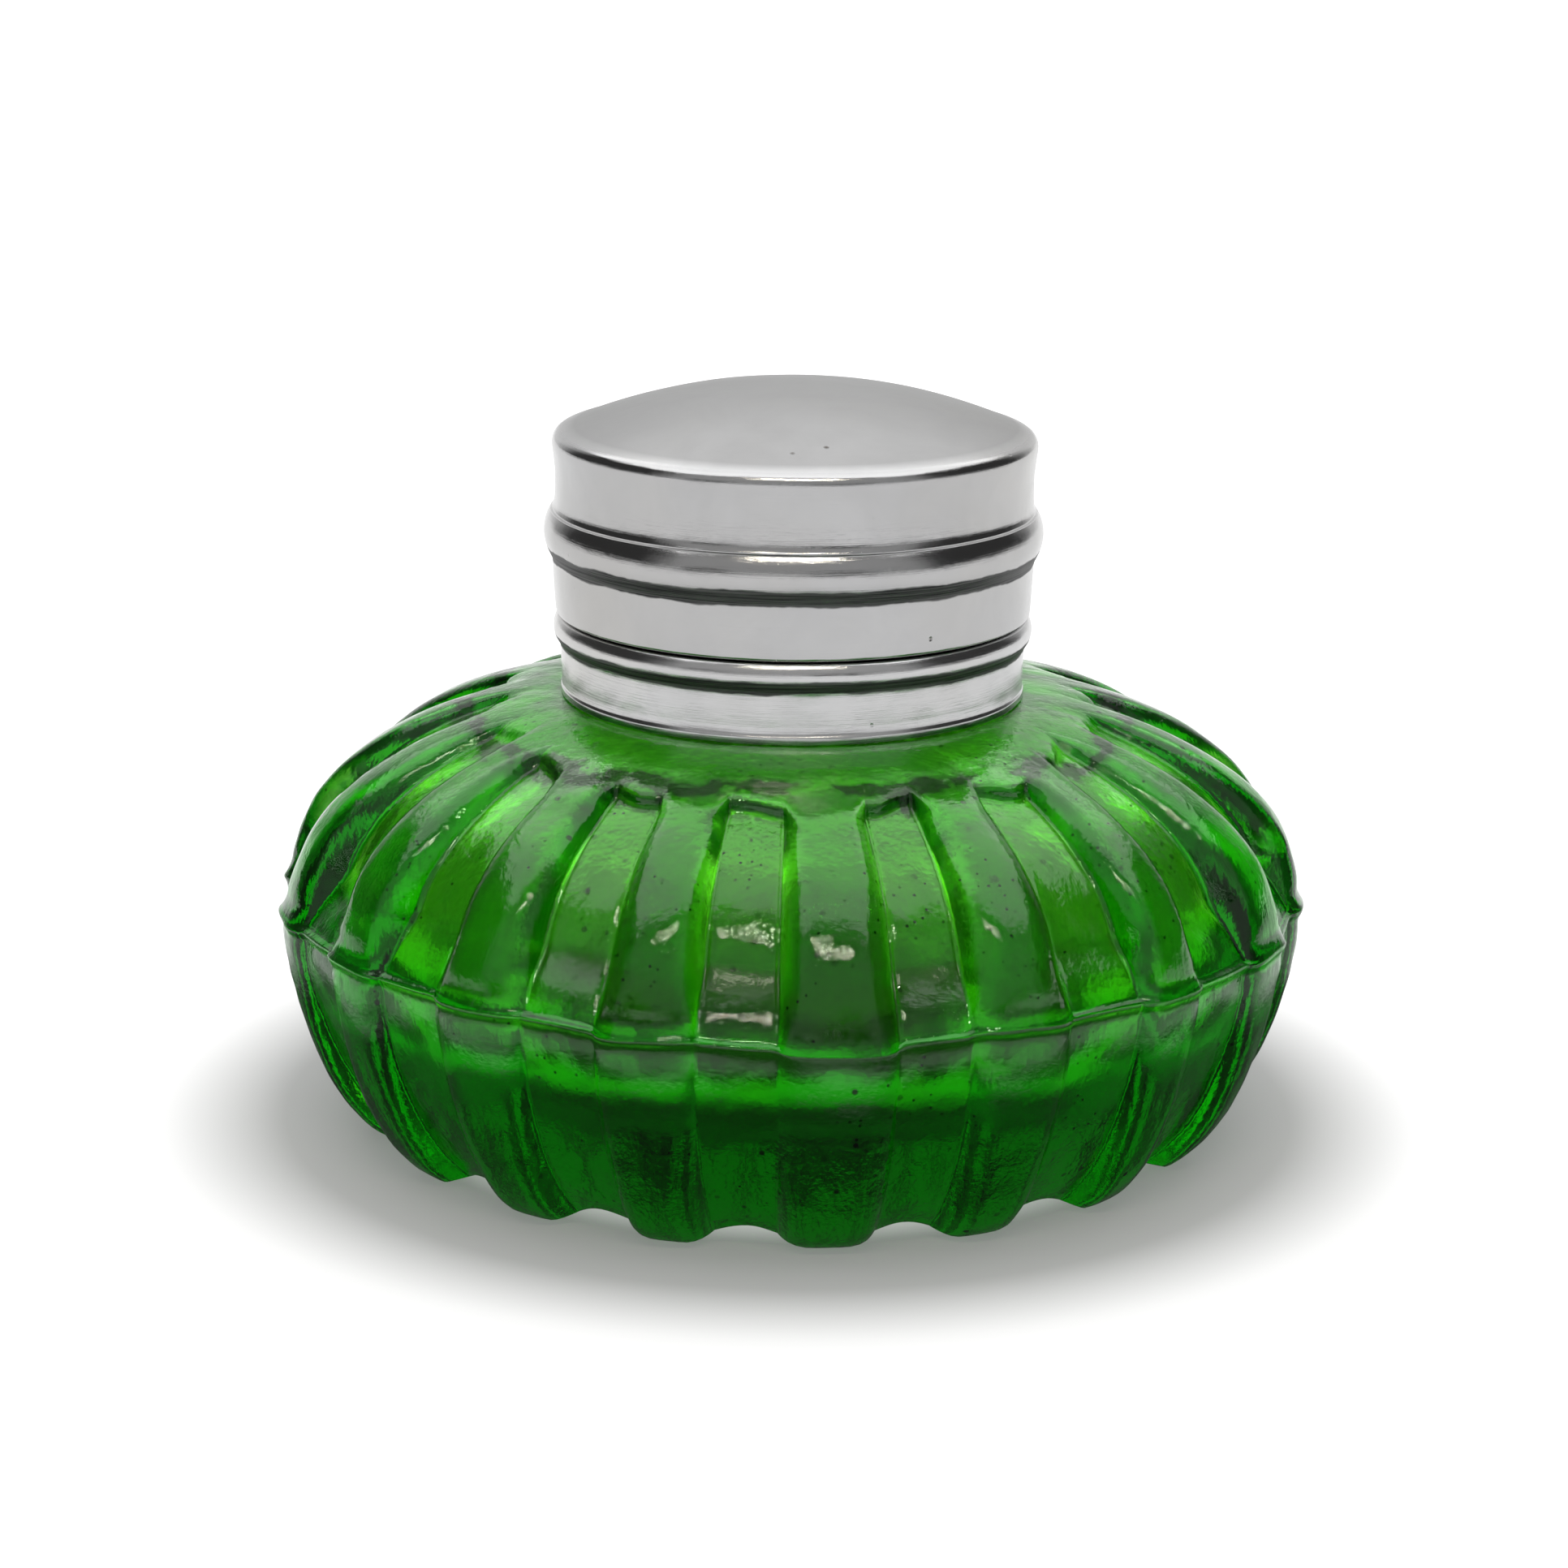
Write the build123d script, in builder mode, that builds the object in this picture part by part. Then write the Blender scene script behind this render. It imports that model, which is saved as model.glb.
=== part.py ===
from build123d import *
import os
from math import cos, radians, sin

os.makedirs("parts", exist_ok=True)

# A squat pressed-glass inkwell with a screw lid. It stands on Z = 0 with its axis on Z, and the
# front is towards -Y. Lengths are in millimetres and angles in degrees.

# Glass pot: a ring of upright rounded lobes with flat strips between them, widest at the mould seam
lobe_count = 18
lobe_pitch = 360 / lobe_count
lobe_width = 10.4
front_lobe_angle = -85.0
seam_height = 18.0
seam_radius = 40.0
foot_radius = 30.7
shoulder_height = 33.9
shoulder_radius = 19.0
groove_depth = 1.4
foot_groove_depth = 2.3
groove_top = 0.90
groove_full = 0.78
neck_radius = 14.2
mouth_radius = 10.8
mouth_height = 49.5
mouth_rounding = 1.2
cavity_floor = 6.5
cavity_radius = 33.6
throat_height = 31.8
throat_rounding = 2.0
kick_radius = 20.0
kick_depth = 1.0
cavity_points = (
    (20.0, cavity_floor),
    (31.0, 11.0),
    (cavity_radius, seam_height),
    (29.5, 25.6),
    (19.0, 30.0),
)
arch_start = 23.5
arch_length = 11.0
arch_drop = 0.9
arch_inner_radius = 1.1
arch_outer_radius = 3.2

# Metal collar on the shoulder
sheet = 0.6
collar_foot_radius = 17.55
collar_waist_radius = 18.0
collar_waist_height = 38.0
collar_bead_radius = 18.42
collar_bead_height = 38.6
collar_top = 40.1
collar_top_radius = 18.05
bead_bulge = 0.05
collar_fillet = 0.5
hem_height = 0.55
hem_relief = 0.08
cement_top = 48.4

# Screw thread between the neck and the lid
thread_pitch = 3.0
thread_base = 1.7
thread_crest = 0.8
male_root_radius = 15.9
male_crest_radius = 16.75
female_root_radius = 17.05
female_crest_radius = 16.25
male_start = 41.6
male_turns = 2.0
female_start = male_start + thread_pitch / 2
female_turns = 1.6
ring_bore = 14.75
ring_foot = 38.6
ring_top = 49.0
lid_ring_foot = 40.9
thread_sink = 0.2

# Lid
lid_foot = 40.3
lid_foot_radius = 18.35
lid_bore = 17.6
bead_low = 44.4
bead_low_radius = 18.55
bead_height = 46.8
bead_radius = 19.2
bead_high = 48.6
waist_radius = 18.42
rim_height = 54.05
rim_radius = 18.65
rim_rounding = 1.2
dome_top = 57.9
dome_wall = 0.8
inner_rim_height = 53.4
bead_fillet = 1.0
lip_radius = 16.2
lip_low = 48.9
lip_high = 49.5

# Cork wad
wad_radius = 16.9
wad_low = 49.65
wad_shoulder = 52.6
wad_top = 56.8


def seam_fraction(height_share):
    """How far out a lobe's crest is between the foot, 0, and the seam, 1."""
    return 0.2 * height_share + 0.8 * (1 - (1 - height_share) ** 2.2) ** 0.59


def shoulder_fraction(height_share):
    """How far out a lobe's crest is between the shoulder, 0, and the seam, 1."""
    return 0.25 * (1 - height_share) + 0.75 * (1 - height_share**3.2) ** 0.7


def polar(radius, angle):
    return (radius * cos(radians(angle)), radius * sin(radians(angle)))


def lobed_section(height, crest_radius, crease_radius):
    """A level section of the pot: an arc for each lobe, and a straight strip to the next one."""
    with BuildSketch(Plane.XY.offset(height)) as section:
        with BuildLine():
            for lobe in range(lobe_count):
                crest_angle = front_lobe_angle + lobe * lobe_pitch
                crest = ThreePointArc(
                    polar(crease_radius, crest_angle - lobe_width / 2),
                    polar(crest_radius, crest_angle),
                    polar(crease_radius, crest_angle + lobe_width / 2),
                )
                next_crease = crest_angle + lobe_pitch - lobe_width / 2
                Line(crest @ 1, polar(crease_radius, next_crease))
        make_face()
    return section.sketch


def lower_section(share):
    crest = foot_radius + (seam_radius - foot_radius) * seam_fraction(share)
    depth = foot_groove_depth + (groove_depth - foot_groove_depth) * share
    return lobed_section(seam_height * share, crest, crest - depth)


def upper_section(share):
    crest = shoulder_radius + (seam_radius - shoulder_radius) * shoulder_fraction(share)
    fade = min(1, max(0, (groove_top - share) / (groove_top - groove_full)))
    height = seam_height + (shoulder_height - seam_height) * share
    return lobed_section(height, crest, crest - groove_depth * fade)


# Glass pot: lofted lobes, a plain neck, and a round cavity
with BuildPart() as glass_well:
    loft([lower_section(share) for share in (0, 0.05, 0.15, 0.3, 0.5, 0.75, 1)])
    loft([upper_section(share) for share in (0, 0.2, 0.4, 0.6, 0.78, 0.9, 0.96, 1)])
    with BuildSketch(Plane.XY.offset(shoulder_height)):
        Circle(neck_radius)
    extrude(amount=mouth_height - shoulder_height)
    # arches under the flat strips leave the pot standing on the ends of its lobes
    with PolarLocations(arch_start, lobe_count, start_angle=front_lobe_angle + lobe_pitch / 2):
        with Locations((0, 0, -arch_drop)):
            Cone(
                arch_inner_radius,
                arch_outer_radius,
                arch_length,
                rotation=(0, 90, 0),
                align=(Align.CENTER, Align.CENTER, Align.MIN),
                mode=Mode.SUBTRACT,
            )
    with BuildSketch(Plane.XY):
        Circle(kick_radius)
    extrude(amount=kick_depth, mode=Mode.SUBTRACT)
    with BuildSketch(Plane.XZ):
        with BuildLine():
            floor_line = Line((0, cavity_floor), cavity_points[0])
            wall = Spline(*cavity_points, tangents=[(1, 0), (-1, 0.2)])
            throat = Line(wall @ 1, (mouth_radius, throat_height))
            bore = Line(throat @ 1, (mouth_radius, mouth_height + 1))
            cap_line = Line(bore @ 1, (0, mouth_height + 1))
            Line(cap_line @ 1, floor_line @ 0)
        make_face()
    revolve(axis=Axis.Z, mode=Mode.SUBTRACT)
    rim_edges = glass_well.edges().filter_by(GeomType.CIRCLE).group_by(Axis.Z)[-1]
    fillet(rim_edges, mouth_rounding)
    throat_edge = glass_well.edges().filter_by(GeomType.CIRCLE).filter_by_position(
        Axis.Z, throat_height - 0.05, throat_height + 0.05
    )
    fillet(throat_edge, throat_rounding)

glass_well.part.label = "glass_well"
export_step(glass_well.part, "parts/glass_well.step")

# Spun collar: a tapered band with a hemmed foot, a small bead, and a ledge round the thread ring
with BuildPart() as collar:
    with BuildSketch(Plane.XZ):
        with BuildLine():
            foot = Line(
                (collar_foot_radius - sheet, shoulder_height),
                (collar_foot_radius, shoulder_height),
            )
            hem = Line(foot @ 1, (collar_foot_radius + hem_relief, shoulder_height + hem_height))
            hem_step = Line(hem @ 1, (collar_foot_radius, shoulder_height + hem_height + hem_relief))
            band = Line(hem_step @ 1, (collar_waist_radius, collar_waist_height))
            flare = Line(band @ 1, (collar_bead_radius, collar_bead_height))
            bead = ThreePointArc(
                flare @ 1,
                (collar_bead_radius + bead_bulge, (collar_bead_height + collar_top) / 2),
                (collar_top_radius, collar_top),
            )
            ledge = Line(bead @ 1, (male_root_radius, collar_top))
            ledge_edge = Line(ledge @ 1, (male_root_radius, collar_top - sheet))
            underside = Line(ledge_edge @ 1, (collar_waist_radius - sheet, collar_top - sheet))
            inside = Line(underside @ 1, (collar_waist_radius - sheet, collar_waist_height))
            Line(inside @ 1, foot @ 0)
        make_face()
    revolve(axis=Axis.Z)
    waist_edges = collar.edges().filter_by_position(
        Axis.Z, collar_waist_height - 0.05, collar_waist_height + 0.05
    )
    fillet(waist_edges.sort_by(SortBy.LENGTH)[-1], collar_fillet)

collar.part.label = "collar"
export_step(collar.part, "parts/collar.step")


def thread_solid(root_radius, crest_radius, start_height, turns):
    """A right-hand trapezoidal thread, sunk a little into the tube that carries it."""
    rise = crest_radius - root_radius
    sunk = -thread_sink if rise > 0 else thread_sink
    with BuildLine() as path:
        Helix(thread_pitch, turns * thread_pitch, root_radius, center=(0, 0, start_height))
    helix = path.wire()
    with BuildSketch(Plane(helix @ 0, x_dir=(1, 0, 0), z_dir=helix % 0)) as profile:
        with BuildLine():
            Polyline(
                (sunk, -thread_base / 2),
                (rise, -thread_crest / 2),
                (rise, thread_crest / 2),
                (sunk, thread_base / 2),
                close=True,
            )
        make_face()
    with BuildPart() as thread:
        sweep(profile.sketch, path=helix, is_frenet=True)
    return thread.part


# Threaded ring of the neck: a tube with an outside thread, flanged where it is soldered under the ledge
with BuildPart() as neck_thread_ring:
    with BuildSketch(Plane.XZ):
        with BuildLine():
            Polyline(
                (ring_bore, ring_foot),
                (collar_waist_radius - sheet, ring_foot),
                (collar_waist_radius - sheet, collar_top - sheet),
                (male_root_radius, collar_top - sheet),
                (male_root_radius, ring_top),
                (ring_bore, ring_top),
                close=True,
            )
        make_face()
    revolve(axis=Axis.Z)
    add(thread_solid(male_root_radius, male_crest_radius, male_start, male_turns))

neck_thread_ring.part.label = "neck_thread_ring"
export_step(neck_thread_ring.part, "parts/neck_thread_ring.step")

# Plaster between the glass neck and the metal
with BuildPart() as neck_cement:
    with BuildSketch(Plane.XZ):
        with BuildLine():
            Polyline(
                (neck_radius, shoulder_height),
                (collar_foot_radius - sheet, shoulder_height),
                (collar_waist_radius - sheet, collar_waist_height),
                (collar_waist_radius - sheet, ring_foot),
                (ring_bore, ring_foot),
                (ring_bore, cement_top),
                (neck_radius, cement_top),
                close=True,
            )
        make_face()
    revolve(axis=Axis.Z)

neck_cement.part.label = "neck_cement"
export_step(neck_cement.part, "parts/neck_cement.step")

# Spun lid: a straight foot, a bead, a slightly waisted wall and a low dome with a rounded rim
with BuildPart() as lid_shell:
    with BuildSketch(Plane.XZ):
        with BuildLine():
            foot = Line((lid_bore, lid_foot), (lid_foot_radius, lid_foot))
            wall = Line(foot @ 1, (bead_low_radius, bead_low))
            bead = ThreePointArc(wall @ 1, (bead_radius, bead_height), (waist_radius, bead_high))
            waist = ThreePointArc(
                bead @ 1, (waist_radius, (bead_high + rim_height) / 2), (rim_radius, rim_height)
            )
            dome = TangentArc((0, dome_top), waist @ 1, tangent=(1, 0))
            inner_dome = TangentArc(
                (0, dome_top - dome_wall), (lid_bore, inner_rim_height), tangent=(1, 0)
            )
            Line(dome @ 0, inner_dome @ 0)
            Line(inner_dome @ 1, foot @ 0)
        make_face()
    revolve(axis=Axis.Z)
    rim_edges = lid_shell.edges().filter_by_position(Axis.Z, rim_height - 0.05, rim_height + 0.05)
    fillet(rim_edges.sort_by(SortBy.LENGTH)[-1], rim_rounding)
    for bead_edge_height in (bead_low, bead_high):
        bead_edges = lid_shell.edges().filter_by_position(
            Axis.Z, bead_edge_height - 0.05, bead_edge_height + 0.05
        )
        fillet(bead_edges.sort_by(SortBy.LENGTH)[-1], bead_fillet)

lid_shell.part.label = "lid_shell"
export_step(lid_shell.part, "parts/lid_shell.step")

# Threaded ring of the lid: a tube with an inside thread, and a lip at its top that carries the wad
with BuildPart() as lid_thread_ring:
    with BuildSketch(Plane.XZ):
        with BuildLine():
            Polyline(
                (female_root_radius, lid_ring_foot),
                (lid_bore, lid_ring_foot),
                (lid_bore, lip_high),
                (lip_radius, lip_high),
                (lip_radius, lip_low),
                (female_root_radius, lip_low),
                close=True,
            )
        make_face()
    revolve(axis=Axis.Z)
    add(thread_solid(female_root_radius, female_crest_radius, female_start, female_turns))

lid_thread_ring.part.label = "lid_thread_ring"
export_step(lid_thread_ring.part, "parts/lid_thread_ring.step")

# Cork wad under the dome, loose on the lip
with BuildPart() as lid_seal:
    with BuildSketch(Plane.XZ):
        with BuildLine():
            bottom = Line((0, wad_low), (wad_radius, wad_low))
            side = Line(bottom @ 1, (wad_radius, wad_shoulder))
            crown = TangentArc((0, wad_top), side @ 1, tangent=(1, 0))
            Line(crown @ 0, bottom @ 0)
        make_face()
    revolve(axis=Axis.Z)

lid_seal.part.label = "lid_seal"
export_step(lid_seal.part, "parts/lid_seal.step")
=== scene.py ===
import bpy
import math
import numpy as np
from mathutils import Matrix, Vector


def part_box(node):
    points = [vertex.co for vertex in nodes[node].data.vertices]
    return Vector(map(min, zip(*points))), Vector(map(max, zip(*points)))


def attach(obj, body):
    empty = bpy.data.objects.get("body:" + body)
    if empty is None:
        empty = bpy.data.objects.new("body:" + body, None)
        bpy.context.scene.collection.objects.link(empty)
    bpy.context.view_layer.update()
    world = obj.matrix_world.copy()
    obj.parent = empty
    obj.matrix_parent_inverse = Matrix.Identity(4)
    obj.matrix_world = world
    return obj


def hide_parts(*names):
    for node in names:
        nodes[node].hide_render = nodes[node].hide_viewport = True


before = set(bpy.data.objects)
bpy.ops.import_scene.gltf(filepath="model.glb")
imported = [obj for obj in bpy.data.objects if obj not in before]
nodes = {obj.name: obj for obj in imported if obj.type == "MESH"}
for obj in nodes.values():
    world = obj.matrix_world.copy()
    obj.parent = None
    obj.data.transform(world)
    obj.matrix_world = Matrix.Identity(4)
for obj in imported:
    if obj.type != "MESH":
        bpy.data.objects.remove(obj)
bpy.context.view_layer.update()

# A lobed green glass inkwell with a metal collar and a screw lid. Blender works in metres; shapes
# below are worked out in millimetres in the frame's axes and scaled by MM when a mesh is made.
MM = 0.001


def low(node):
    return np.array(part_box(node)[0]) / MM


def high(node):
    return np.array(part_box(node)[1]) / MM


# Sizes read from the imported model
mouth_height = high("glass_well")[2]
cement_foot = low("neck_cement")[2]
collar_foot = low("collar")[2]
collar_top = high("collar")[2]
collar_bead_radius = high("collar")[0]
lid_foot = low("lid_shell")[2]
dome_top = high("lid_shell")[2]
lid_bead_radius = high("lid_shell")[0]

# The pot: its lobes and the strips between them, its outline and its hollow
lobe_count = 18
lobe_pitch = 360 / lobe_count
half_pitch = lobe_pitch / 2
lobe_half_width = 5.2
lobe_squareness = 4.2
front_lobe_angle = -85.0
front_lobe_reach = 6.4
front_seam_drop = -0.75
front_ridge_share = 0.12
seam_height = 18.0
seam_radius = 40.1
foot_radius = 31.9
shoulder_height = cement_foot
shoulder_radius = 19.0
rib_depth = 2.9
belly_depth = 0.85
foot_groove_depth = 2.3
strip_sag = 0.12
crease_width = 0.28
upper_crease_depth = 0.22
lower_crease_depth = 0.02
scallop_rise = 1.7
kick_height = 1.0
collar_seat = shoulder_height - 0.04
neck_radius = 14.12
mouth_radius = 10.8
lip_rounding = 1.2
cavity_floor = 6.6


# ---------------------------------------------------------------------------------------------
# Curves and meshes
# ---------------------------------------------------------------------------------------------

def smoothstep(edge_a, edge_b, value):
    share = np.clip((value - edge_a) / (edge_b - edge_a), 0, 1)
    return share * share * (3 - 2 * share)


def bell(value, centre, width):
    return np.exp(-(((value - centre) / width) ** 2))


def arc(start, middle, end, count):
    """Points on the circle through three points, from start to end."""
    (ax, ay), (bx, by), (cx, cy) = start, middle, end
    d = 2 * (ax * (by - cy) + bx * (cy - ay) + cx * (ay - by))
    ux = ((ax**2 + ay**2) * (by - cy) + (bx**2 + by**2) * (cy - ay) + (cx**2 + cy**2) * (ay - by)) / d
    uy = ((ax**2 + ay**2) * (cx - bx) + (bx**2 + by**2) * (ax - cx) + (cx**2 + cy**2) * (bx - ax)) / d
    radius = math.hypot(ax - ux, ay - uy)
    first = math.atan2(ay - uy, ax - ux)
    turn = math.atan2(cy - uy, cx - ux) - first
    turn = (turn + math.pi) % (2 * math.pi) - math.pi
    return [
        (ux + radius * math.cos(first + turn * i / count), uy + radius * math.sin(first + turn * i / count))
        for i in range(count + 1)
    ]


def corner(before, tip, after, size, count):
    """A rounded corner at tip: it starts and ends that far from the tip, towards its neighbours."""
    points = []
    legs = []
    for other in (before, after):
        gap = math.hypot(other[0] - tip[0], other[1] - tip[1])
        legs.append([tip[k] + (other[k] - tip[k]) * size / gap for k in (0, 1)])
    for i in range(count + 1):
        t = i / count
        points.append(
            tuple((1 - t) ** 2 * legs[0][k] + 2 * t * (1 - t) * tip[k] + t * t * legs[1][k] for k in (0, 1))
        )
    return points


def spline_through(points, per_span):
    """A Catmull-Rom curve through the points."""
    pts = np.array([points[0], *points, points[-1]], float)
    out = []
    for i in range(1, len(pts) - 2):
        p0, p1, p2, p3 = pts[i - 1:i + 3]
        for j in range(per_span):
            t = j / per_span
            out.append(tuple(
                0.5 * (2 * p1 + (p2 - p0) * t + (2 * p0 - 5 * p1 + 4 * p2 - p3) * t * t
                       + (3 * p1 - p0 - 3 * p2 + p3) * t**3)
            ))
    out.append(tuple(pts[-1]))
    return out


def waves(angle, height, count, seed, turns=9, rise=0.5):
    """A smooth random field round the axis, about -1 to 1, that joins up after a whole turn."""
    random = np.random.default_rng(seed)
    total = np.zeros(np.broadcast(angle, height).shape)
    for _ in range(count):
        k = random.integers(1, turns + 1)
        m = random.normal() * rise
        total += np.sin(k * angle + m * height + random.uniform(0, 2 * math.pi))
    return total / math.sqrt(count)


def add_object(name, vertices, faces, material, body, smooth=True):
    mesh = bpy.data.meshes.new(name)
    mesh.from_pydata([tuple(v) for v in np.asarray(vertices) * MM], [], faces)
    mesh.validate()
    mesh.polygons.foreach_set("use_smooth", [smooth] * len(mesh.polygons))
    mesh.materials.append(material)
    mesh.update()
    piece = bpy.data.objects.new(name, mesh)
    bpy.context.scene.collection.objects.link(piece)
    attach(piece, body)
    return piece


def ring_faces(rows, columns, closed_profile=False):
    """Quads between neighbouring rings of a lathe or tube mesh, facing outwards."""
    faces = []
    last = rows if closed_profile else rows - 1
    for row in range(last):
        a = row * columns
        b = ((row + 1) % rows) * columns
        for column in range(columns):
            following = (column + 1) % columns
            faces.append((a + column, a + following, b + following, b + column))
    return faces


def pole_faces(rows, columns):
    """Triangles from the first and last rings to the two poles, which follow the rings' vertices."""
    start_pole = rows * columns
    end_pole = start_pole + 1
    last_row = (rows - 1) * columns
    faces = []
    for column in range(columns):
        following = (column + 1) % columns
        faces.append((start_pole, following, column))
        faces.append((end_pole, last_row + column, last_row + following))
    return faces


def lathe(profile, columns, wobble=None):
    """Vertices and faces of a closed body of revolution. The profile starts and ends on the axis."""
    angles = np.linspace(0, 2 * math.pi, columns, endpoint=False)
    inner = np.array(profile[1:-1], float)
    radius = inner[:, 0][:, None] + np.zeros(columns)
    height = inner[:, 1][:, None] + np.zeros(columns)
    if wobble is not None:
        radius, height = wobble(angles[None, :], radius, height)
    rings = np.stack([radius * np.cos(angles), radius * np.sin(angles), height], -1).reshape(-1, 3)
    vertices = [*rings, (0, 0, profile[0][1]), (0, 0, profile[-1][1])]
    return vertices, ring_faces(len(inner), columns) + pole_faces(len(inner), columns)


def tube_lathe(profile, columns, wobble=None):
    """Vertices and faces of a ring whose profile closes on itself."""
    angles = np.linspace(0, 2 * math.pi, columns, endpoint=False)
    points = np.array(profile, float)
    radius = points[:, 0][:, None] + np.zeros(columns)
    height = points[:, 1][:, None] + np.zeros(columns)
    if wobble is not None:
        radius, height = wobble(angles[None, :], radius, height)
    rings = np.stack([radius * np.cos(angles), radius * np.sin(angles), height], -1).reshape(-1, 3)
    return rings, ring_faces(len(points), columns, closed_profile=True)


# ---------------------------------------------------------------------------------------------
# Shader building
# ---------------------------------------------------------------------------------------------

class Material:
    """A Principled material, with short calls for the nodes that feed it."""

    def __init__(self, name, **settings):
        self.material = bpy.data.materials.new(name)
        self.material.use_nodes = True
        self.tree = self.material.node_tree
        self.tree.nodes.clear()
        self.output = self.tree.nodes.new("ShaderNodeOutputMaterial")
        self.shader = self.tree.nodes.new("ShaderNodeBsdfPrincipled")
        self.tree.links.new(self.shader.outputs[0], self.output.inputs["Surface"])
        self.place = self.tree.nodes.new("ShaderNodeTexCoord").outputs["Object"]
        for key, value in settings.items():
            self.set(key.replace("_", " "), value)

    def set(self, socket, value):
        target = self.shader.inputs[socket]
        if isinstance(value, bpy.types.NodeSocket):
            self.tree.links.new(value, target)
        else:
            target.default_value = (*value, 1) if isinstance(value, tuple) else value

    def feed(self, target, value):
        if isinstance(value, bpy.types.NodeSocket):
            self.tree.links.new(value, target)
        else:
            target.default_value = value

    def math(self, operation, a, b=0.0, c=0.0):
        node = self.tree.nodes.new("ShaderNodeMath")
        node.operation = operation
        for i, value in enumerate((a, b, c)):
            self.feed(node.inputs[i], value)
        return node.outputs[0]

    def scaled(self, x, y, z, source=None):
        node = self.tree.nodes.new("ShaderNodeMapping")
        self.feed(node.inputs["Vector"], source or self.place)
        node.inputs["Scale"].default_value = (x, y, z)
        return node.outputs[0]

    def split(self, source=None):
        node = self.tree.nodes.new("ShaderNodeSeparateXYZ")
        self.feed(node.inputs[0], source or self.place)
        return node.outputs

    def join(self, x, y, z):
        node = self.tree.nodes.new("ShaderNodeCombineXYZ")
        for i, value in enumerate((x, y, z)):
            self.feed(node.inputs[i], value)
        return node.outputs[0]

    def off_axis(self):
        """The square of the distance from the object's axis, and that distance."""
        x, y, z = self.split()
        squares = self.math("ADD", self.math("MULTIPLY", x, x), self.math("MULTIPLY", y, y))
        return squares, self.math("SQRT", squares)

    def round_the_axis(self, around, across, along):
        """Cylinder coordinates: angle, radius and height, each with its own scale."""
        x, y, z = self.split()
        angle = self.math("ARCTAN2", y, x)
        squares, radius = self.off_axis()
        return self.join(
            self.math("MULTIPLY", angle, around),
            self.math("MULTIPLY", radius, across),
            self.math("MULTIPLY", z, along),
        )

    def noise(self, scale, detail=4.0, roughness=0.55, distortion=0.0, source=None):
        node = self.tree.nodes.new("ShaderNodeTexNoise")
        self.feed(node.inputs["Vector"], source or self.place)
        node.inputs["Scale"].default_value = scale
        node.inputs["Detail"].default_value = detail
        node.inputs["Roughness"].default_value = roughness
        node.inputs["Distortion"].default_value = distortion
        return node.outputs[0]

    def cells(self, scale, feature="F1", randomness=1.0, source=None):
        node = self.tree.nodes.new("ShaderNodeTexVoronoi")
        self.feed(node.inputs["Vector"], source or self.place)
        node.feature = feature
        node.inputs["Scale"].default_value = scale
        node.inputs["Randomness"].default_value = randomness
        return node.outputs["Distance"]

    def ramp(self, value, *stops):
        """Stops are (place, number or colour), and the result is a colour socket."""
        node = self.tree.nodes.new("ShaderNodeValToRGB")
        self.feed(node.inputs[0], value)
        elements = node.color_ramp.elements
        while len(elements) < len(stops):
            elements.new(0.5)
        for element, (place, colour) in zip(elements, stops):
            element.position = place
            element.color = (*colour, 1) if isinstance(colour, tuple) else (colour, colour, colour, 1)
        return node.outputs[0]

    def ramp_over(self, value, start, end, *stops):
        """A ramp that spans start to end, with its stops' places given in millimetres."""
        length = (end - start) * MM
        place = self.math("MULTIPLY_ADD", value, 1 / length, -start * MM / length)
        return self.ramp(place, *[((at - start) / (end - start), tone) for at, tone in stops])

    def mix(self, share, a, b):
        node = self.tree.nodes.new("ShaderNodeMix")
        node.data_type = "RGBA"
        self.feed(node.inputs[0], share)
        for index, value in ((6, a), (7, b)):
            self.feed(node.inputs[index], (*value, 1) if isinstance(value, tuple) else value)
        return node.outputs[2]

    def bump(self, height, distance, strength=1.0, under=None):
        node = self.tree.nodes.new("ShaderNodeBump")
        node.inputs["Strength"].default_value = strength
        node.inputs["Distance"].default_value = distance
        self.feed(node.inputs["Height"], height)
        if under is not None:
            self.feed(node.inputs["Normal"], under)
        return node.outputs[0]


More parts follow.
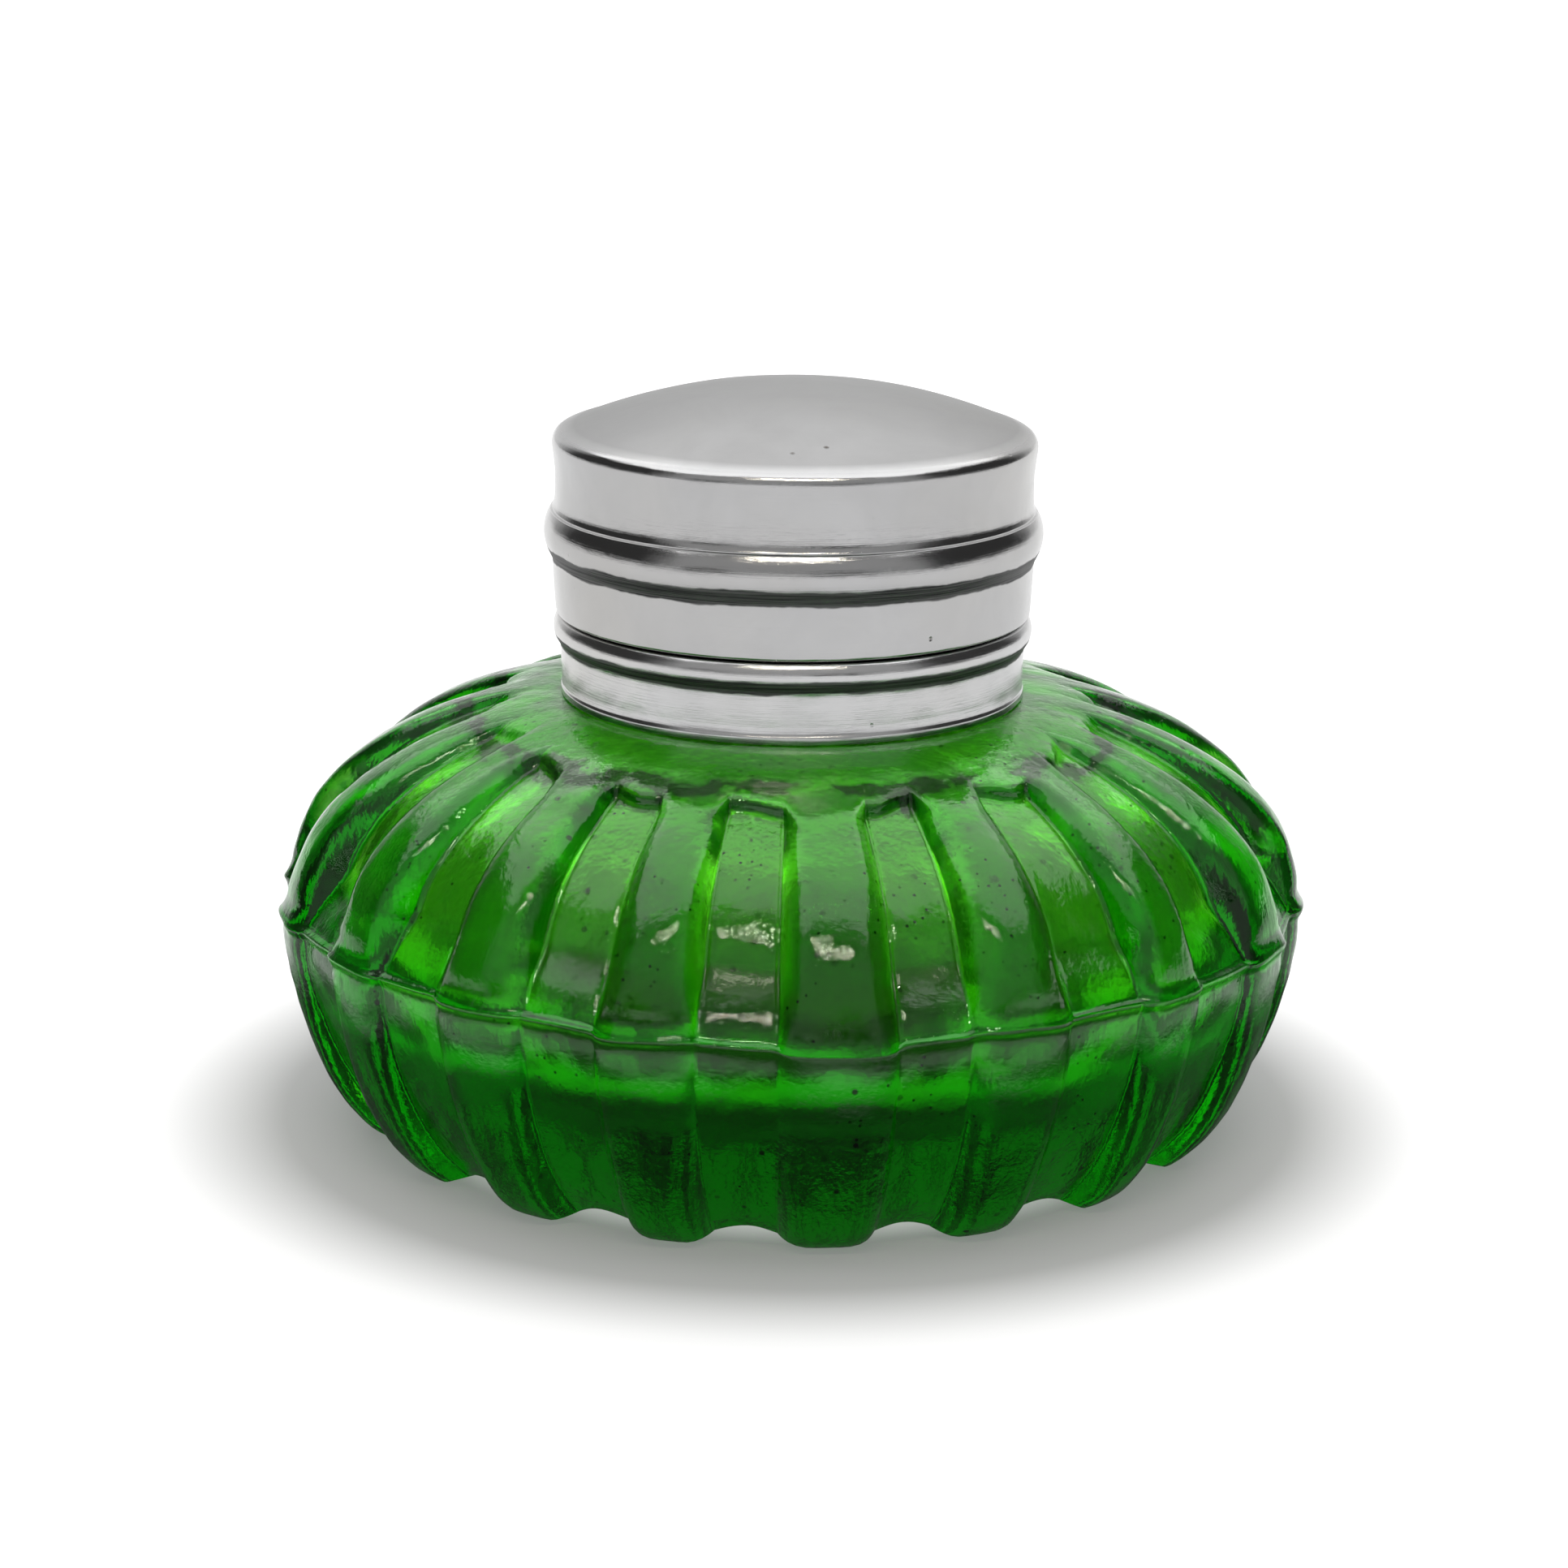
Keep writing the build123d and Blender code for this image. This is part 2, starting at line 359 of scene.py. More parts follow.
def green_glass():
    """Old pressed emerald glass: absorbing, slightly uneven, with specks, dirt, old ink and a painted shade
    ring at the collar's foot.
    """
    absorbed = (0.50, 0.93, 0.02, 1)
    absorption_density = 430
    # millimetres: the egg shape just inside which the hollow lies, and the level of the ink film
    hollow_reach = 34
    hollow_middle = 18
    hollow_rise = 13
    hollow_limit = 1.22
    ink_level = 17.8
    ink_edge = 19.0

    m = Material("green_pressed_glass", Transmission_Weight=1.0, IOR=1.47, Specular_IOR_Level=0.08)
    height = m.split()[2]
    squares, radius = m.off_axis()
    soft = m.noise(160, 3, distortion=0.6)

    # black specks of two sizes, in loose patches
    large_speck = m.ramp(m.cells(520), (0.10, 1.0), (0.16, 0.0))
    large_patch = m.ramp(m.noise(90, 2), (0.44, 0.0), (0.60, 1.0))
    small_speck = m.ramp(m.cells(1150), (0.11, 1.0), (0.17, 0.0))
    small_patch = m.ramp(m.noise(140, 3), (0.48, 0.0), (0.58, 1.0))
    large = m.math("MULTIPLY", large_speck, large_patch)
    small = m.math("MULTIPLY", small_speck, small_patch)
    clear = m.ramp(soft, (0.30, (0.80, 0.95, 0.78)), (0.70, (1.0, 1.0, 1.0)))
    colour = m.mix(m.math("MAXIMUM", large, small), clear, (0.002, 0.012, 0.001))

    # the hollow's wall lies inside the egg shape
    across = m.math("MULTIPLY", squares, 1 / (hollow_reach * MM) ** 2)
    rise = hollow_rise * MM
    up = m.math("MULTIPLY_ADD", height, 1 / rise, -hollow_middle * MM / rise)
    inside = m.math("LESS_THAN", m.math("MULTIPLY_ADD", up, up, across), hollow_limit)
    outside = m.math("SUBTRACT", 1.0, inside)

    # dirt and painted shade on the outside: a painted shade ring round the collar's foot, where the metal
    # meets the glass, and dirt in the hollow where the lobes begin
    wander = m.math("MULTIPLY_ADD", m.noise(210, 4, 0.6), 0.0060, -0.0030)
    around = m.math("ADD", radius, wander)
    collar_painted_shade = [(18.0, 0.8), (18.875, 0.0)]
    lobe_dirt = [(23.875, 0.0), (24.625, 1.0), (26.125, 1.0), (27.125, 0.0)]
    ring = m.ramp_over(around, 16.5, 29.0, *collar_painted_shade, *lobe_dirt)
    above = m.math("GREATER_THAN", height, 0.0270)
    patches = m.ramp(m.noise(240, 3), (0.40, 0.0), (0.47, 1.0))
    dirt_and_painted_shade = m.math("MULTIPLY", m.math("MULTIPLY", ring, above), m.math("MULTIPLY", patches, outside))
    # dark brown: dirt on the lobes, and painted shade at the collar's foot
    dirty_and_shaded = m.mix(m.math("MULTIPLY", dirt_and_painted_shade, 0.95), colour, (0.0016, 0.0008, 0.0004))

    # a film of old ink on the inside, up to the level of the seam
    level = m.math("MULTIPLY_ADD", m.noise(120, 3), 0.0016, height)
    filled = m.ramp_over(level, 0.0, 40.0, (ink_level, 1.0), (ink_edge, 0.0))
    film = m.math("MULTIPLY", filled, inside)
    tint = m.ramp(m.noise(75, 3, 0.6), (0.35, (0.10, 0.11, 0.05)), (0.65, (0.17, 0.16, 0.08)))
    m.set("Base Color", m.mix(film, dirty_and_shaded, tint))

    # the blown inside is duller than the fire-polished outside
    polish = m.ramp(soft, (0.35, 0.0), (0.75, 0.03))
    m.set("Roughness", m.mix(inside, polish, (0.22, 0.22, 0.22)))
    drawn = m.noise(1.0, 4, source=m.scaled(260, 260, 60))
    uneven = m.bump(drawn, 0.0006, 0.35)
    m.set("Normal", m.bump(m.noise(2600, 3), 0.00007, 0.4, under=uneven))
    volume = m.tree.nodes.new("ShaderNodeVolumeAbsorption")
    volume.inputs["Color"].default_value = absorbed
    volume.inputs["Density"].default_value = absorption_density
    m.tree.links.new(volume.outputs[0], m.output.inputs["Volume"])
    return m.material


def tinted(tone, *factors):
    return tuple(value * factor for value, factor in zip(tone, factors))


def spun_metal(name, tone, base_roughness, painted_shade_band, satin_above=None):
    """Polished spun metal: turning lines round the axis, cloudy wear, pits and small dark stains.

    The band pair gives the lowest and highest level of a painted dark band under the bead, painted shade
    and dark reflection; the metal is satin from satin_above upwards, with its colour darkened there as
    painted shade, all in millimetres.
    """
    m = Material(name, Metallic=1.0)
    height = m.split()[2]
    turned = m.noise(1.0, 5, 0.7, source=m.round_the_axis(1.6, 9000, 9000))
    cloudy = m.noise(150, 5, 0.6, distortion=0.4)
    broad = m.noise(45, 3, 0.5)
    spots = m.ramp(m.cells(430), (0.05, 1.0), (0.11, 0.0))
    pits = m.math("MULTIPLY", spots, m.ramp(m.noise(120, 2), (0.55, 0.0), (0.62, 1.0)))
    warm = m.mix(m.ramp(broad, (0.45, 0.0), (0.75, 0.5)), tone, tinted(tone, 0.97, 0.93, 0.84))
    worn = m.ramp(cloudy, (0.35, 0.22), (0.65, 0.0))
    shade = m.mix(worn, warm, tinted(tone, 0.74, 0.74, 0.74))
    # a painted dark line under the bead, standing in for the shade and dark reflection on its underside
    groove_low, groove_high = painted_shade_band
    wander = m.math("MULTIPLY_ADD", m.noise(230, 3, 0.6), 0.7, -0.35)
    level = m.math("ADD", m.math("MULTIPLY", height, 1 / MM), wander)
    middle = (groove_low + groove_high) / 2
    off = m.math("ABSOLUTE", m.math("SUBTRACT", level, middle))
    line = m.ramp(m.math("DIVIDE", off, groove_high - groove_low), (0.50, 1.0), (0.62, 0.0))
    streak = m.ramp(turned, (0.42, 0.75), (0.62, 1.0))
    dark = m.mix(m.math("MULTIPLY", line, streak), shade, (0.030, 0.030, 0.032))
    wear = m.ramp(cloudy, (0.30, base_roughness + 0.10), (0.70, base_roughness))
    if satin_above is not None:
        satin_stops = [(satin_above, 0.0), (satin_above + 0.6, 1.0)]
        dome = m.ramp_over(height, satin_above, satin_above + 1.0, *satin_stops)
        # painted shade: the dome's colour is darkened, beside its satin roughness
        dark = m.mix(dome, dark, m.mix(0.8, dark, (0.255, 0.255, 0.255)))
        wear = m.mix(dome, wear, m.ramp(cloudy, (0.30, 0.52), (0.70, 0.44)))
    m.set("Base Color", m.mix(pits, dark, (0.10, 0.09, 0.08)))
    m.set("Roughness", m.mix(line, wear, (0.5, 0.5, 0.5)))
    lines = m.bump(turned, 0.00002, 0.5)
    pitted = m.math("ADD", cloudy, m.math("MULTIPLY", pits, -2.0))
    m.set("Normal", m.bump(pitted, 0.00012, 0.35, under=lines))
    return m.material


def turned_thread():
    """Lathe-cut threads: tool marks, grey grease in the roots."""
    m = Material("turned_thread_metal", Metallic=1.0)
    marks = m.noise(1.0, 4, 0.7, source=m.round_the_axis(2.0, 7000, 7000))
    dull = m.noise(260, 4, 0.6)
    m.set("Base Color", m.ramp(dull, (0.32, (0.26, 0.25, 0.23)), (0.62, (0.66, 0.66, 0.65))))
    m.set("Roughness", m.ramp(dull, (0.3, 0.48), (0.7, 0.26)))
    m.set("Normal", m.bump(marks, 0.00003, 0.6))
    return m.material


def plaster():
    """Set plaster: stained, finely cracked."""
    m = Material("set_plaster")
    grain = m.noise(1500, 5, 0.7)
    stain = m.noise(170, 4, 0.6)
    cracks = m.ramp(m.cells(190, "DISTANCE_TO_EDGE"), (0.0, 1.0), (0.035, 0.0))
    tone = m.ramp(stain, (0.30, (0.46, 0.40, 0.30)), (0.65, (0.74, 0.71, 0.62)))
    m.set("Base Color", m.mix(cracks, tone, (0.22, 0.18, 0.13)))
    m.set("Roughness", m.ramp(grain, (0.3, 0.92), (0.7, 0.78)))
    m.set("Normal", m.bump(m.math("SUBTRACT", grain, cracks), 0.00008, 0.7))
    return m.material


def cork():
    """Cork with dark pores and ink stains."""
    m = Material("wad_cork")
    grain = m.noise(420, 5, 0.65, distortion=0.8)
    pores = m.ramp(m.cells(340, source=m.scaled(1, 1, 0.5)), (0.08, 1.0), (0.22, 0.0))
    ink = m.ramp(m.noise(95, 4, 0.6), (0.52, 0.0), (0.66, 0.75))
    tone = m.ramp(grain, (0.30, (0.30, 0.17, 0.085)), (0.68, (0.60, 0.41, 0.24)))
    stained = m.mix(ink, tone, (0.035, 0.03, 0.055))
    m.set("Base Color", m.mix(pores, stained, (0.09, 0.05, 0.03)))
    m.set("Roughness", m.ramp(grain, (0.3, 0.9), (0.7, 0.7)))
    m.set("Normal", m.bump(m.math("SUBTRACT", grain, pores), 0.00022, 0.8))
    return m.material


glass_material = green_glass()
# each metal's band pair places its painted dark line of shade and reflection under the bead
lid_material = spun_metal(
    "lid_spun_metal", (0.47, 0.47, 0.473), 0.09, painted_shade_band=(44.5, 45.6), satin_above=dome_top - 3.8
)
collar_material = spun_metal("collar_spun_metal", (0.57, 0.57, 0.573), 0.11, painted_shade_band=(37.8, 38.7))
thread_material = turned_thread()
plaster_material = plaster()
cork_material = cork()


# ---------------------------------------------------------------------------------------------
# The glass pot
# ---------------------------------------------------------------------------------------------

def crest_radius(height):
    """Radius of a lobe's crest at a height between the foot and the shoulder."""
    below = np.clip(height / seam_height, 0, 1)
    swell = 0.2 * below + 0.8 * (1 - (1 - below) ** 2.2) ** 0.59
    lower = foot_radius + (seam_radius - foot_radius) * swell
    above = np.clip((height - seam_height) / (shoulder_height - seam_height), 0, 1)
    draw = 0.25 * (1 - above) + 0.75 * (1 - above**3.2) ** 0.7
    upper = shoulder_radius + (seam_radius - shoulder_radius) * draw
    return np.where(height < seam_height, lower, upper)


# Columns of the mesh, in degrees from a lobe's middle, closest together at its edges
lobe_columns = [0, 1.2, 2.3, 3.3, 4.1, 4.65, 4.95, 5.2, 5.45, 5.8, 6.4, 7.2, 8.1, 9.0]
local_angles = sorted([-a for a in lobe_columns[1:]] + lobe_columns + [half_pitch])
# Rows of the mesh, as shares of the way from the foot to the seam and from the seam to the collar
lower_rows = [0, 0.004, 0.012, 0.025, 0.045, 0.07, 0.10, 0.14, 0.18]
lower_rows += list(np.linspace(0.23, 0.86, 22))
lower_rows += [0.885, 0.91, 0.93, 0.945, 0.958, 0.968, 0.976, 0.984, 0.992, 1.0]
upper_rows = [0.006, 0.012, 0.018, 0.026, 0.036, 0.048, 0.062, 0.08, 0.10, 0.125]
upper_rows += list(np.linspace(0.15, 0.985, 52)) + [0.995, 1.0]

# No two lobes are quite alike: each one's shift, seam ridge, seam level and half width
lobe_random = np.random.default_rng(41)
lobe_shift = lobe_random.uniform(-0.35, 0.35, lobe_count)
ridge_share = lobe_random.uniform(0.75, 1.15, lobe_count)
ridge_share[0] = front_ridge_share
seam_drop = lobe_random.uniform(-0.25, 0.30, lobe_count)
seam_drop[0] = front_seam_drop
lobe_reach = lobe_random.uniform(4.7, 5.9, lobe_count)
lobe_reach[0] = front_lobe_reach


def pot_columns():
    """For each column: its angle, its place in the lobe, and the lobe's own ridge and seam level."""
    angles, local, ridge, drop = [], [], [], []
    for lobe in range(lobe_count):
        for place in local_angles:
            share = 1 - abs(place) / half_pitch
            edges = (0, lobe_half_width, half_pitch)
            spread = np.interp(abs(place), edges, (0, lobe_reach[lobe], half_pitch))
            off_middle = math.copysign(spread, place) + lobe_shift[lobe] * share
            angles.append(front_lobe_angle + lobe * lobe_pitch + off_middle)
            local.append(place)
            neighbour = (lobe + (1 if place > 0 else -1)) % lobe_count
            blend = smoothstep(lobe_half_width - 1.2, lobe_half_width + 1.0, abs(place)) * 0.5
            ridge.append(ridge_share[lobe] * (1 - blend) + ridge_share[neighbour] * blend)
            drop.append(seam_drop[lobe] * (1 - blend) + seam_drop[neighbour] * blend)
    return np.radians(angles), np.array(local), np.array(ridge), np.array(drop)


class PotRings:
    """The pot as rings of vertices, from the underside up the outside and down into the hollow."""

    def __init__(self):
        self.rings = []
        self.angle, local, self.ridge, drop = pot_columns()
        away = np.abs(local)
        in_lobe = away <= lobe_half_width + 1e-9
        from_strip = (half_pitch - away) / (half_pitch - lobe_half_width)
        self.lobe_form = np.where(in_lobe, (away / lobe_half_width) ** lobe_squareness, 1.0)
        self.strip_hollow = np.where(in_lobe, 0.0, strip_sag * (1 - from_strip**2))
        self.crease = bell(away, lobe_half_width, crease_width)
        self.arch = scallop_rise / 2 * (1 - np.cos(2 * math.pi * local / lobe_pitch))
        self.seam_line = seam_height + drop + 0.18 * waves(self.angle, 0, 7, 5, turns=34)
        # in front the lobes end short of the collar, at the sides and back they run up to it
        self.in_front = smoothstep(0.47, 0.87, -np.sin(self.angle))
        self.top_of_lobe = 0.985 - 0.07 * self.in_front
        self.ragged = 0.012 * waves(self.angle, 0, 5, 21, turns=30)

    def add(self, radius, height):
        x = radius * np.cos(self.angle)
        y = radius * np.sin(self.angle)
        self.rings.append(np.stack([x, y, height + 0 * self.angle], -1))

    def underside(self):
        """A shallow kick, a flat standing ring, and an arch under each strip."""
        for radius in (6.0, 12.0, 17.5, 19.2):
            self.add(radius, kick_height + 0.05 * waves(self.angle, radius, 5, 11, turns=5))
        for radius, height in ((19.7, 0.93), (20.2, 0.45), (20.6, 0.0), (22.0, 0.0), (23.6, 0.0)):
            self.add(radius, height)
        for radius in (25.5, 27.5, 29.2, 30.2):
            self.add(radius, self.arch * smoothstep(23.6, 30.7, radius))

    def seam_relief(self, height):
        """A thin lip along the mould seam, with a shallow hollow on either side."""
        gap = height - self.seam_line
        hollow_share = np.clip(self.ridge, 0.3, 1)
        lip = 0.15 * self.ridge * bell(gap, -0.1, 0.30)
        return lip - hollow_share * (0.16 * bell(gap, 1.15, 0.7) + 0.10 * bell(gap, -0.9, 0.6))

    def unevenness(self, height):
        coarse = 0.075 * waves(self.angle, height, 14, 31, turns=26, rise=0.35)
        return coarse + 0.035 * waves(self.angle, height, 16, 32, turns=90, rise=1.3)

    def grooved(self, level, depth, fade, crease_depth):
        """The wall's radius with its strips sunk below the lobes and a crease at each edge."""
        radius = crest_radius(np.minimum(level, shoulder_height))
        radius = radius - (depth * self.lobe_form + self.strip_hollow) * fade
        return radius - crease_depth * self.crease * fade

    def lower_wall(self):
        for share in lower_rows:
            height = self.arch + (self.seam_line - self.arch) * share
            level = height * seam_height / self.seam_line
            depth = belly_depth + (foot_groove_depth - belly_depth) * (1 - share) ** 1.7
            crease_depth = lower_crease_depth * smoothstep(0.02, 0.12, share)
            radius = self.grooved(level, depth, 1.0, crease_depth) + self.seam_relief(height)
            calm = 0.3 if share < 0.02 else 1.0
            self.add(radius + calm * self.unevenness(height), height)

    def upper_wall(self):
        seam_step = 0.25
        for share in upper_rows:
            height = self.seam_line + (collar_seat - self.seam_line) * share
            level = seam_height + (shoulder_height - seam_height) * share
            depth = belly_depth + seam_step * smoothstep(0.0, 0.03, share)
            depth = depth + (rib_depth - belly_depth - seam_step) * smoothstep(0.03, 0.30, share)
            place = share + self.ragged
            fade = 1 - smoothstep(self.top_of_lobe - 0.115, self.top_of_lobe, place)
            crease_depth = upper_crease_depth * smoothstep(0.02, 0.12, share)
            radius = self.grooved(level, depth, fade, crease_depth) + self.seam_relief(height)
            # the real outline is a little fuller here, more so on the right
            radius = radius + 0.45 * bell(share, 0.42, 0.28)
            radius = radius + 0.25 * np.cos(self.angle) * bell(share, 0.42, 0.35)
            # a step where the front lobes rise out of the shoulder
            step = place - self.top_of_lobe
            radius = radius + 0.42 * bell(step, -0.055, 0.035) * (1 - self.lobe_form) * self.in_front
            radius = radius - 0.42 * bell(step, 0.0, 0.022) * self.in_front
            calm = 1 - 0.4 * smoothstep(0.97, 1.0, share)
            self.add(radius + calm * self.unevenness(height), height)

    def neck(self):
        for radius in (18.2, 15.5, neck_radius + 0.25):
            self.add(radius, collar_seat)
        self.add(neck_radius, shoulder_height + 0.3)
        for height in np.linspace(shoulder_height + 3, mouth_height - 3, 5):
            self.add(neck_radius, height)
        outer = (neck_radius, mouth_height)
        inner = (mouth_radius, mouth_height)
        lip = corner((neck_radius, 0), outer, (0, mouth_height), lip_rounding, 5)
        lip += corner(outer, inner, (mouth_radius, 0), lip_rounding, 5)
        for radius, height in lip:
            self.add(radius, height)

    def hollow(self):
        """Bore, throat and cavity, blown a little unevenly."""
        for height in np.linspace(mouth_height - 3, 34.5, 8):
            self.add(mouth_radius + 0.03 * waves(self.angle, height, 5, 51, turns=4), height)
        throat = corner((mouth_radius, 40), (mouth_radius, 31.8), (19.0, 30.0), 2.0, 5)
        outline = [(15.0, 30.95), (19.0, 30.0), (29.2, 25.6), (33.2, 18.6), (30.5, 12.2), (22.0, 8.2)]
        cavity = spline_through(outline, 8)
        for radius, height in throat + cavity[1:]:
            share = smoothstep(mouth_radius, 24, radius)
            swell = 0.22 * waves(self.angle, height, 9, 61, turns=9, rise=0.2) * share
            sway = 0.08 * waves(self.angle, radius, 7, 62, turns=7) * share
            self.add(radius + swell, height + sway)
        for radius in (16, 12, 8, 4):
            ripple = 0.10 * waves(self.angle, radius, 6, 63, turns=5, rise=0.3)
            dish = 2.0 * (radius / 24) ** 2
            self.add(radius, cavity_floor + dish + ripple * smoothstep(0, 12, radius))


def glass_pot():
    pot_rings = PotRings()
    pot_rings.underside()
    pot_rings.lower_wall()
    pot_rings.upper_wall()
    pot_rings.neck()
    pot_rings.hollow()
    rings = np.array(pot_rings.rings)
    rows, columns = rings.shape[:2]
    vertices = [*rings.reshape(-1, 3), (0, 0, kick_height), (0, 0, cavity_floor)]
    faces = ring_faces(rows, columns) + pole_faces(rows, columns)
    piece = add_object("glass_pot", vertices, faces, glass_material, "well")
    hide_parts("glass_well")
    return piece


# ---------------------------------------------------------------------------------------------
# The metal
# ---------------------------------------------------------------------------------------------

lathe_columns = 288


def lid_cap():
    """The lid's shell: straight foot, rounded bead, slightly waisted wall, dome, and its inside."""
    foot_outer = 18.35
    bore = 17.6
    waist = 18.42
    bead_low, bead_high = 44.4, 48.6
    bead_middle = 46.8
    dome_inner = dome_top - 0.8
    profile = [(0, dome_inner)]
    inner_dome = arc((0.0, dome_inner), (bore / 2, dome_inner - 0.86), (bore, 53.4), 16)
    profile += inner_dome[1:]
    profile += [(bore, height) for height in (52.0, 50.0, 47.0, 44.0, lid_foot + 0.5)]
    profile += corner((bore, 44.0), (bore, lid_foot), (foot_outer, lid_foot), 0.22, 3)
    profile += corner((bore, lid_foot), (foot_outer, lid_foot), (foot_outer, 44.0), 0.30, 4)
    profile += [(foot_outer + 0.2 * (h - lid_foot) / 4.1, h) for h in (41.2, 42.2, 43.2)]
    profile += corner((foot_outer + 0.14, 43.2), (18.55, bead_low + 0.1), (18.95, bead_low + 0.95), 0.30, 4)
    bead_start = (18.93, bead_low + 0.9)
    bead_end = (waist + 0.16, bead_high - 0.15)
    bead = arc(bead_start, (lid_bead_radius, bead_middle), bead_end, 22)
    profile += bead[:-1]
    profile += corner(bead[-2], (waist, bead_high + 0.05), (waist, 51.0), 0.45, 4)
    profile += [(waist - 0.02, h) for h in (49.6, 50.4, 51.2)]
    profile += [(waist + 0.10, 52.4), (waist + 0.17, 52.9)]
    # the wall turns over at a crisp rounded rim, and the dome rises from a fine line inside it
    profile += corner((18.6, 52.9), (18.72, 54.15), (17.0, 54.62), 0.95, 8)
    dome = arc((17.55, 54.45), (9.2, 57.02), (0.0, dome_top), 26)
    profile += dome[1:]

    def wobble(angle, radius, height):
        dents = 0.020 * waves(angle, height, 12, 71, turns=11, rise=0.35)
        fine = 0.006 * waves(angle, height, 14, 72, turns=40, rise=1.5)
        share = smoothstep(0, 9, radius)
        radius = radius + (dents + fine) * share * (height > lid_foot + 0.1)
        lift = 0.022 * waves(angle, radius, 10, 73, turns=6, rise=0.3) * share
        return radius, height + np.where(height > 54.6, lift, 0.008 * waves(angle, height, 8, 74, turns=9))

    vertices, faces = lathe(profile, lathe_columns, wobble)
    piece = add_object("lid_cap", vertices, faces, lid_material, "lid")
    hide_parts("lid_shell")
    return piece


def collar_band():
    """The collar: a tapered band with a turned hem, a waist, a bead and a ledge."""
    sheet = 0.55
    foot = 17.84
    waist = 18.0
    bead = collar_bead_radius
    ledge_bore = 15.95
    top = collar_top
    profile = [(foot - sheet, collar_foot + 0.02)]
    profile += corner((foot - sheet, collar_foot), (foot + 0.10, collar_foot), (foot + 0.12, 34.4), 0.12, 3)
    profile += corner((foot + 0.12, 34.2), (foot + 0.13, 34.52), (foot, 34.66), 0.12, 3)
    profile += [(foot + 0.01, 34.75)]
    profile += [(foot + 0.12 * (h - 34.6) / 3.4, h) for h in (35.4, 36.2, 37.0, 37.5)]
    profile += corner((17.95, 37.5), (waist, 38.0), (bead - 0.05, 38.5), 0.34, 4)
    profile += arc((bead - 0.16, 38.42), (bead, 39.25), (bead - 0.36, top), 12)[1:]
    profile += [(17.2, top), (16.5, top)]
    profile += [(ledge_bore, top), (ledge_bore, top - sheet), (waist - sheet, top - sheet)]
    profile += [(waist - sheet, 38.0)]

    def wobble(angle, radius, height):
        dents = 0.020 * waves(angle, height, 12, 81, turns=10, rise=0.4)
        fine = 0.006 * waves(angle, height, 14, 82, turns=36, rise=1.5)
        foot_wave = 0.05 * waves(angle, 0, 8, 83, turns=14) * bell(height, collar_foot, 0.5)
        return radius + (dents + fine) * (radius > 17.2), height + np.maximum(foot_wave, -0.02)

    vertices, faces = tube_lathe(profile, lathe_columns, wobble)
    piece = add_object("collar_band", vertices, faces, collar_material, "well")
    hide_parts("collar")
    return piece


pot = glass_pot()
cap = lid_cap()
band = collar_band()
for node, material in (
    ("neck_cement", plaster_material),
    ("neck_thread_ring", thread_material),
    ("lid_thread_ring", thread_material),
    ("lid_seal", cork_material),
    ("glass_well", glass_material),
    ("collar", collar_material),
    ("lid_shell", lid_material),
):
    nodes[node].data.materials.clear()
    nodes[node].data.materials.append(material)


# ---------------------------------------------------------------------------------------------
# Floor, light and camera
# ---------------------------------------------------------------------------------------------

def floor_plane(name, depth, tone, glow_stops):
    """A large level plane that glows by its distance from the pot's axis, so that its glow paints light and
    shadow round the pot.

    The depth and the distances in glow_stops are in millimetres.
    """
    reach = 6.0
    glow_reach = 200.0
    mesh = bpy.data.meshes.new(name)
    corners = [(-reach, -reach, 0), (reach, -reach, 0), (reach, reach, 0), (-reach, reach, 0)]
    mesh.from_pydata(corners, [], [(0, 1, 2, 3)])
    surface = bpy.data.objects.new(name, mesh)
    surface.location.z = -depth * MM
    bpy.context.scene.collection.objects.link(surface)
    m = Material(name + "_pale", Base_Color=(tone, tone, tone), Roughness=0.9)
    distance = m.off_axis()[1]
    m.set("Emission Color", (1.0, 1.0, 1.0))
    m.set("Emission Strength", m.ramp_over(distance, 0.0, glow_reach, *glow_stops))
    mesh.materials.append(m.material)
    return surface


def floor():
    """A white sweep for the camera with a painted soft shadow round the pot, and under it two glowing
    planes that paint the table's light and shade as mirrored and as seen through glass.
    """
    # painted shadow: the sweep's glow dips from about 31 to 49 mm off the axis, round the pot's foot
    sweep_glow_and_painted_shadow = [(24, 0.70), (31, 0.20), (40, 0.26), (49, 0.74), (58, 1.0)]
    sweep = floor_plane("floor", 0.05, 0.22, sweep_glow_and_painted_shadow)
    sweep.visible_glossy = False
    sweep.visible_transmission = False
    # painted shade seen only in reflections: nearly dark out to about 56 mm, bright beyond
    mirrored_glow_and_painted_shade = [(44, 0.05), (56, 0.07), (66, 0.95), (120, 1.05)]
    mirrored = floor_plane("painted_table_in_reflections", 0.25, 0.0, mirrored_glow_and_painted_shade)
    mirrored.visible_camera = False
    mirrored.visible_transmission = False
    # painted shadow and light seen only through the glass: dark under the pot's middle, brighter round it,
    # dimmer again near 68 mm
    beneath_glow_and_painted_shadow = [(21, 0.03), (30, 0.60), (44, 0.85), (68, 0.50), (100, 0.85)]
    beneath = floor_plane("painted_table_through_glass", 0.45, 0.0, beneath_glow_and_painted_shadow)
    beneath.visible_camera = False
    beneath.visible_glossy = False


